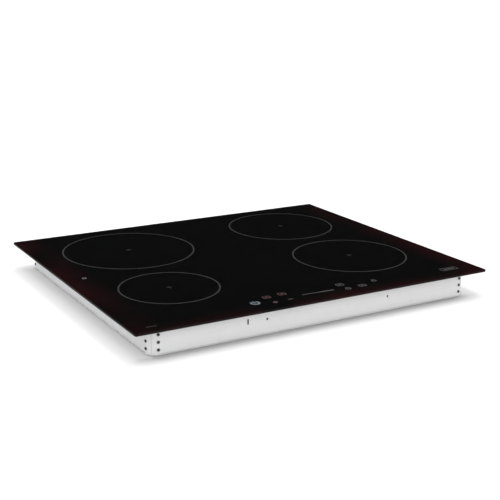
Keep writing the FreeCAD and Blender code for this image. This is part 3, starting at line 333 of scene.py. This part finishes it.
def foam_strip():
    """Closed-cell foam: small dark pores."""
    f = Finish("foam_seal", (0.035, 0.035, 0.036), 0.95)
    pores = f.cells(0.8)
    f.tint(f.ramp(pores, 0.1, 0.7), (0.012, 0.012, 0.012), (0.05, 0.05, 0.052))
    return f.bump(pores, 0.12)


def circuit_board():
    """Green solder resist with fine raised copper tracks below it."""
    f = Finish("circuit_board", (0.02, 0.12, 0.05), 0.38)
    tracks = f.node("ShaderNodeTexBrick")
    tracks.inputs["Scale"].default_value = 120.0
    tracks.inputs["Mortar Size"].default_value = 0.03
    f.link(f.place, tracks.inputs["Vector"])
    f.tint(tracks.outputs["Fac"], (0.018, 0.115, 0.05), (0.045, 0.21, 0.09))
    f.rough(f.noise(8, 2.0), 0.3, 0.45)
    return f.bump(tracks.outputs["Fac"], 0.03)


def mica():
    """Pressed mica: pearly overlapping flakes."""
    f = Finish("mica", (0.62, 0.56, 0.46), 0.42)
    f.tint(f.ramp(f.cells(2.4, "Color"), 0.0, 1.0), (0.5, 0.44, 0.35), (0.74, 0.7, 0.62))
    f.rough(f.cells(2.4, "Color"), 0.3, 0.6)
    return f.bump(f.cells(2.4), 0.03)


def litz():
    """Enamelled copper litz: slanting strands."""
    f = Finish("litz_copper", (0.62, 0.27, 0.12), 0.38, 0.85)
    wave = f.node("ShaderNodeTexWave", wave_type="BANDS", bands_direction="DIAGONAL")
    wave.inputs["Scale"].default_value = 900.0
    wave.inputs["Distortion"].default_value = 1.2
    f.link(f.place, wave.inputs["Vector"])
    f.tint(wave.outputs["Fac"], (0.42, 0.16, 0.07), (0.75, 0.36, 0.17))
    return f.bump(wave.outputs["Fac"], 0.06)


def laminated_steel():
    """Stacked punched steel: thin level lines."""
    f = Finish("stator_steel", (0.32, 0.29, 0.26), 0.45, 0.9)
    wave = f.node("ShaderNodeTexWave", wave_type="BANDS", bands_direction="Z")
    wave.inputs["Scale"].default_value = 320.0
    f.link(f.place, wave.inputs["Vector"])
    f.tint(wave.outputs["Fac"], (0.2, 0.18, 0.16), (0.42, 0.38, 0.34))
    return f.bump(wave.outputs["Fac"], 0.04)


def smoked_window():
    """Smoked display face under a thin clear coat."""
    f = moulded("display_black", (0.02, 0.017, 0.018), 0.2, 2.0, 0.004)
    f.shader.inputs["Coat Weight"].default_value = 0.4
    return f


FINISHES = {
    "glass_ceramic": glass_ceramic(),
    "foam_seal": foam_strip(),
    "silicone": moulded("silicone", (0.03, 0.03, 0.031), 0.45, 3.0, 0.05),
    "casing_steel": coated_sheet(),
    "dark_screw": black_oxide(),
    "zinc_screw": plain_metal("zinc_screw", (0.58, 0.58, 0.56), 0.35, 1.2),
    "aluminium_sheet": plain_metal("aluminium_sheet", (0.76, 0.76, 0.77), 0.35, 3.0, (0.05, 1.5, 1.5)),
    "aluminium_extrusion": plain_metal("aluminium_extrusion", (0.7, 0.7, 0.71), 0.4, 1.6, (0.04, 1, 1)),
    "mica": mica(),
    "sensor_silicone": moulded("sensor_silicone", (0.7, 0.7, 0.67), 0.6),
    "lead_insulation": moulded("lead_insulation", (0.7, 0.67, 0.58), 0.75, 0.4, 0.08),
    "circuit_board": circuit_board(),
    "ferrite": moulded("ferrite", (0.035, 0.035, 0.038), 0.5, 0.5, 0.05),
    "black_plastic": moulded("black_plastic", (0.022, 0.022, 0.023), 0.5),
    "display_black": smoked_window(),
    "spring_steel": plain_metal("spring_steel", (0.66, 0.66, 0.66), 0.25, 0.8),
    "grey_plastic": moulded("grey_plastic", (0.42, 0.42, 0.42), 0.5),
    "shaft_steel": plain_metal("shaft_steel", (0.68, 0.68, 0.7), 0.2, 0.5, (1, 1, 4), 0.003),
    "white_plastic": moulded("white_plastic", (0.76, 0.75, 0.7), 0.5),
    "brass_screw": plain_metal("brass_screw", (0.72, 0.52, 0.2), 0.3, 0.7),
    "gland_black": moulded("gland_black", (0.028, 0.028, 0.029), 0.48, 0.5, 0.03),
    "carrier_plastic": moulded("carrier_plastic", (0.09, 0.09, 0.088), 0.6),
    "litz_copper": litz(),
    "component_black": moulded("component_black", (0.03, 0.03, 0.031), 0.45, 0.4, 0.02),
    "capacitor_case": moulded("capacitor_case", (0.62, 0.58, 0.46), 0.45),
    "bronze": plain_metal("bronze", (0.5, 0.33, 0.16), 0.5, 0.5, (1, 1, 1), 0.03),
    "stator_steel": laminated_steel(),
}
PRINT_RING = enamel_print("print_ring", (0.036, 0.036, 0.035))
PRINT_BADGE = enamel_print("print_badge", (0.06, 0.061, 0.057))
PRINT_GREY = enamel_print("print_grey", (0.095, 0.095, 0.092))
PRINT_FAINT = enamel_print("print_faint", (0.022, 0.021, 0.021))
PRINT_RED = enamel_print("print_red", (0.115, 0.068, 0.068))
PRINT_BRIGHT = enamel_print("print_bright", (0.15, 0.168, 0.19))


def dress_cad_nodes():
    """Every CAD node takes the finish of its own material slot."""
    slots = {row["node"]: row["material_slot"] for row in frame["record"]["subparts"]}
    for name, node in frame["nodes"].items():
        node.data.materials.clear()
        node.data.materials.append(FINISHES[slots[name]].material)


# ------------------------------------------------------------------ meshes
def add_piece(name, shape, finish, smooth=False):
    """One finished piece on the casing. shape: points, and groups of faces as index arrays."""
    points, groups = shape
    mesh = bpy.data.meshes.new(name)
    mesh.from_pydata(points.tolist(), [], sum([group.tolist() for group in groups], []))
    mesh.polygons.foreach_set("use_smooth", [smooth] * len(mesh.polygons))
    mesh.validate()
    mesh.materials.append(finish.material)
    piece = bpy.data.objects.new(name, mesh)
    bpy.context.scene.collection.objects.link(piece)
    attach(piece, CASING)
    return piece


def grid_faces(rows, columns, close_rows, close_columns):
    """Quads of a grid of points, wrapped round in either direction."""
    u = np.arange(rows if close_rows else rows - 1)
    v = np.arange(columns if close_columns else columns - 1)
    a, b = np.meshgrid(u, v, indexing="ij")
    c, d = (a + 1) % rows, (b + 1) % columns
    return np.stack([a * columns + d, c * columns + d, c * columns + b, a * columns + b],
                    axis=-1).reshape(-1, 4)


def end_faces(rows, columns):
    """The two faces that close the first and the last row of a grid of points."""
    row = np.arange(columns)
    return [row[None, ::-1], columns * (rows - 1) + row[None]]


def joined(shapes):
    """Several shapes as one, with the faces renumbered to follow their points."""
    starts = np.cumsum([0] + [len(points) for points, _ in shapes[:-1]])
    return (np.concatenate([points for points, _ in shapes]),
            [group + start for (_, groups), start in zip(shapes, starts) for group in groups])


def rounded_outline(half_x, half_y, radius, steps):
    """Points and outward directions round a rectangle with quarter-circle corners.

    Each corner is centre + radius * (cos t, sin t) for a quarter turn of t.
    """
    t = np.linspace(0, math.pi / 2, steps)
    points, outward = [], []
    for k, (sx, sy) in enumerate(((1, 1), (-1, 1), (-1, -1), (1, -1))):
        way = np.stack([np.cos(t + k * math.pi / 2), np.sin(t + k * math.pi / 2)], axis=1)
        centre = np.array([sx * (half_x - radius), sy * (half_y - radius)])
        points.append(centre + radius * way)
        outward.append(way)
    return np.concatenate(points), np.concatenate(outward)


# ------------------------------------------------------------------ pieces
def glass_plate():
    """The plate with a pencil-ground edge.

    The edge profile is a full half round from the top to the underside, for s from 0 to pi:
    inset = depth * (1 - sin(s) ^ fullness), height = middle + half * cos(s). It is carried
    round the outline, and the top and the underside are closed flat.
    """
    edge_depth, edge_fullness, profile_steps, corner_steps = 1.1 * MM, 0.6, 13, 9
    top, under = GLASS_TOP - PRINT_SINK, GLASS_UNDER
    outline, outward = rounded_outline(GLASS_HALF_X, GLASS_HALF_Y, GLASS_CORNER, corner_steps)
    s = np.linspace(0, math.pi, profile_steps)
    inset = edge_depth * (1 - np.sin(s) ** edge_fullness)
    height = (top + under) / 2 + (top - under) / 2 * np.cos(s)
    flat = outline[:, None, :] - outward[:, None, :] * inset[None, :, None]
    points = np.concatenate(
        [flat, np.broadcast_to(height, (len(outline), profile_steps))[..., None]], axis=2)
    count = len(outline)
    rim = np.arange(count) * profile_steps
    groups = [grid_faces(count, profile_steps, True, False), rim[None],
              rim[None, ::-1] + profile_steps - 1]
    piece = add_piece("glass_plate", (points.reshape(-1, 3), groups), FINISHES["glass_ceramic"])
    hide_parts("glass_panel")
    return piece


def strip_prism(path, width, closed):
    """A flat printed line of the given width along a path on the plate.

    At each point the two sides are path +/- width / 2 times the normal of the path.
    """
    path = np.asarray(path, float)
    ahead = np.roll(path, -1, 0) - np.roll(path, 1, 0)
    if not closed:
        ahead[0] = path[1] - path[0]
        ahead[-1] = path[-1] - path[-2]
    ahead /= np.linalg.norm(ahead, axis=1)[:, None]
    side = np.stack([-ahead[:, 1], ahead[:, 0]], axis=1) * width / 2
    low, high = GLASS_TOP - PRINT_THICK, GLASS_TOP
    corners = [np.column_stack([path + side, np.full(len(path), high)]),
               np.column_stack([path - side, np.full(len(path), high)]),
               np.column_stack([path - side, np.full(len(path), low)]),
               np.column_stack([path + side, np.full(len(path), low)])]
    points = np.stack(corners, axis=1).reshape(-1, 3)
    sides = [grid_faces(len(path), 4, closed, True)]
    return points, sides if closed else sides + end_faces(len(path), 4)


def print_piece(name, strips, finish):
    """Several printed lines as one piece. strips: (path, width, closed) in metres."""
    return add_piece(name, joined([strip_prism(*strip) for strip in strips]), finish)


def arc(x, y, radius, start=0.0, end=360.0, steps=None):
    """Points on a circle between two angles in degrees, without repeating a full turn's end."""
    least_steps, turn_steps = 6, 96
    full = abs(end - start) >= 360
    steps = steps or max(least_steps, int(abs(end - start) / 360 * turn_steps))
    t = np.radians(np.linspace(start, end, steps, endpoint=not full))
    return np.column_stack([x + radius * np.cos(t), y + radius * np.sin(t)])


def line(x0, y0, x1, y1):
    """A straight stroke in millimetres, as a path in metres."""
    return np.array([[x0, y0], [x1, y1]]) * MM


def key_frame(x, y, half_x, half_y):
    """A rounded outline given in millimetres, as a closed path in metres."""
    corner, corner_steps = 1.6 * MM, 6
    outline, _ = rounded_outline(half_x * MM, half_y * MM, corner, corner_steps)
    return outline + np.array([x, y]) * MM


def tube(path, across, radius, sides):
    """A closed-ended round wire along a path.

    Point = path + radius * (cos a * across + sin a * (tangent x across)).
    """
    tangent = np.gradient(path, axis=0)
    tangent /= np.linalg.norm(tangent, axis=1)[:, None]
    over = np.cross(tangent, across)
    a = np.linspace(0, 2 * math.pi, sides, endpoint=False)
    points = (path[:, None, :] + radius * (np.cos(a)[None, :, None] * across[:, None, :]
                                           + np.sin(a)[None, :, None] * over[:, None, :]))
    return (points.reshape(-1, 3),
            [grid_faces(len(path), sides, False, True)] + end_faces(len(path), sides))


def spiral_windings():
    """Each winding as one flat spiral of round litz wire: radius = start + pitch * t / (2 pi)."""
    pitch, inner, gap, steps, sides = 3.6 * MM, 11.0 * MM, 0.05 * MM, 72, 10
    for name in ZONE_NAMES:
        node = "coil_winding_" + name
        low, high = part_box(node)
        x, y, _ = middle(node)
        wire = min(pitch, high.z - low.z) / 2 - gap
        outer = (high.x - low.x) / 2 - wire
        start = inner + wire
        turns = (outer - start) / pitch
        t = np.linspace(0, 2 * math.pi * turns, int(turns * steps))
        radius = start + pitch * t / (2 * math.pi)
        across = np.column_stack([np.cos(t), np.sin(t), np.zeros(len(t))])
        path = np.array([x, y, low.z + wire]) + radius[:, None] * across
        piece = add_piece("litz_spiral_" + name, tube(path, across, wire, sides),
                          FINISHES["litz_copper"], smooth=True)
        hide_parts(node)


def contact_springs():
    """The touch springs as coiled wire in place of plain sleeves.

    The wire is a helix that rises evenly by a small share of its height all the way, and by the
    rest between its first and last turns, so that both ends lie nearly flat.
    """
    low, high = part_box("touch_springs")
    wire, turns, steps, sides, even_share = 0.32 * MM, 7.0, 26, 8, 0.14
    radius = (high.y - low.y) / 2 - wire
    y, height = (low.y + high.y) / 2, high.z - low.z - 2 * wire
    t = np.linspace(0, 2 * math.pi * turns, int(turns * steps))
    share = t / t[-1]
    between = np.clip((share - 1 / turns) / (1 - 2 / turns), 0, 1)
    rise = between * (1 - even_share) + share * even_share
    across = np.column_stack([np.cos(t), np.sin(t), np.zeros(len(t))])
    springs = []
    for x in KEY_PLACES:
        path = np.array([x * MM, y, low.z + wire]) + radius * across
        path[:, 2] += rise * height
        springs.append(tube(path, across, wire, sides))
    piece = add_piece("contact_springs", joined(springs), FINISHES["spring_steel"],
                      smooth=True)
    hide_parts("touch_springs")


# ------------------------------------------------------------------ prints, placed in mm
def zone_prints():
    """A ring round each zone and a small cross at its centre."""
    arm, clear, stroke, ring_steps = 5.0, 0.9, 1.7 * MM, 240
    for name in ZONE_NAMES:
        x, y, rim = coil_zone(name)
        ring = arc(x, y, rim + RING_BEYOND_COIL, steps=ring_steps)
        print_piece("ring_" + name, [(ring, RING_WIDTH, True)], PRINT_RING)
        cx, cy = x / MM, y / MM
        print_piece("centre_mark_" + name, [
            (line(cx - arm, cy, cx + arm, cy), stroke, False),
            (line(cx, cy + clear, cx, cy + arm), stroke, False),
            (line(cx, cy - arm, cx, cy - clear), stroke, False)], PRINT_FAINT)


def power_key_print(x, y):
    """A ring open at the back with a short stroke in the opening."""
    ring, ring_width, opening = 5.6 * MM, 3.6 * MM, 35
    foot, tip, stroke = -1.0, 7.4, 2.6 * MM
    print_piece("power_key_print", [
        (arc(x * MM, y * MM, ring, 90 + opening, 450 - opening), ring_width, False),
        (line(x, y + foot, x, y + tip), stroke, False)], PRINT_BRIGHT)


def selector_print(side, places, finish):
    """Zone selector keys: a frame with a short bar in it at each place."""
    half_x, half_y, bar = 5.6, 4.2, 2.4
    strips = []
    for x, y in places:
        strips.append((key_frame(x, y, half_x, half_y), THIN_LINE, True))
        strips.append((line(x - bar, y, x + bar, y), BOLD_LINE, False))
    print_piece("selector_print_" + side, strips, finish)


def level_print(plus_x, plus_y, minus_x, minus_y):
    """A plus and a minus for the power level. The plus is a bar and two strokes clear of it."""
    half, clear = 4.0, 1.0
    print_piece("level_print", [
        (line(plus_x - half, plus_y, plus_x + half, plus_y), BOLD_LINE, False),
        (line(plus_x, plus_y - half, plus_x, plus_y - clear), BOLD_LINE, False),
        (line(plus_x, plus_y + clear, plus_x, plus_y + half), BOLD_LINE, False),
        (line(minus_x - half, minus_y, minus_x + half, minus_y), BOLD_LINE, False)], PRINT_RED)


def slider_print(y):
    """The slider line, thin to the left and bold to the right."""
    start, change, gap, end = -23.0, 6.0, 0.6, 31.0
    thin, bold = 1.5 * MM, 2.6 * MM
    print_piece("slider_print", [(line(start, y + 1, change, y), thin, False),
                                 (line(change + gap, y, end, y - 1), bold, False)], PRINT_GREY)


def timer_print(x, y, hand_y):
    """A round clock with one hand."""
    dial, dial_width, hand = 3.8 * MM, 1.6 * MM, 1.6
    print_piece("timer_print", [
        (arc(x * MM, y * MM, dial), dial_width, True),
        (line(x, hand_y - hand, x, hand_y + hand), THIN_LINE, False)], PRINT_GREY)


def lock_print(x, y):
    """A padlock: a rounded body with a bow over it."""
    half_x, half_y, below, body_width = 3.4, 2.6, 2.4, 1.4 * MM
    bow, bow_above = 2.1 * MM, 0.9
    print_piece("lock_print", [
        (key_frame(x, y - below, half_x, half_y), body_width, True),
        (arc(x * MM, (y + bow_above) * MM, bow, 20, 160), THIN_LINE, False)], PRINT_GREY)


def control_prints():
    """The touch strip: power key, four zone selectors, level marks, slider and function keys."""
    row, back = FRONT_EDGE + 26.5, FRONT_EDGE + 46.0
    power_key_print(-100.0, FRONT_EDGE + 33.5)
    selector_print("left", ((-73.0, back + 2), (-46.0, back + 4)), PRINT_RED)
    selector_print("right", ((52.0, back), (80.0, row + 1)), PRINT_GREY)
    level_print(-73.0, row - 3, -47.0, row - 2)
    slider_print(row + 5)
    timer_print(53.0, row - 1, row)
    lock_print(108.5, FRONT_EDGE + 40.0)


def locator_print(x, y):
    """A small round locator."""
    ring, width = 2.6 * MM, 1.8 * MM
    print_piece("locator_print", [(arc(x * MM, y * MM, ring), width, True)], PRINT_BRIGHT)


def left_bar_print(x, y):
    """A plain bar."""
    half, width = 7.5, 2.4 * MM
    print_piece("left_bar_print", [(line(x - half, y, x + half, y), width, False)], PRINT_FAINT)


def badge_print(x, y):
    """A plain bar in a frame."""
    half_x, half_y, frame_width = 15.0, 5.4, 1.6 * MM
    bar, bar_width = 10.5, 4.6 * MM
    print_piece("badge_print", [(key_frame(x, y, half_x, half_y), frame_width, True),
                                (line(x - bar, y, x + bar, y), bar_width, False)], PRINT_BADGE)


def edge_prints():
    """A locator by the left edge, and a bar and a badge by the front corners."""
    locator_print(-266.6, 4.5)
    left_bar_print(-266.5, FRONT_EDGE + 17.0)
    badge_print(248.0, FRONT_EDGE + 31.0)


studio_camera()
floor_light(studio_floor(), glass_plate())
studio_light()
dress_cad_nodes()
zone_prints()
control_prints()
edge_prints()
spiral_windings()
contact_springs()
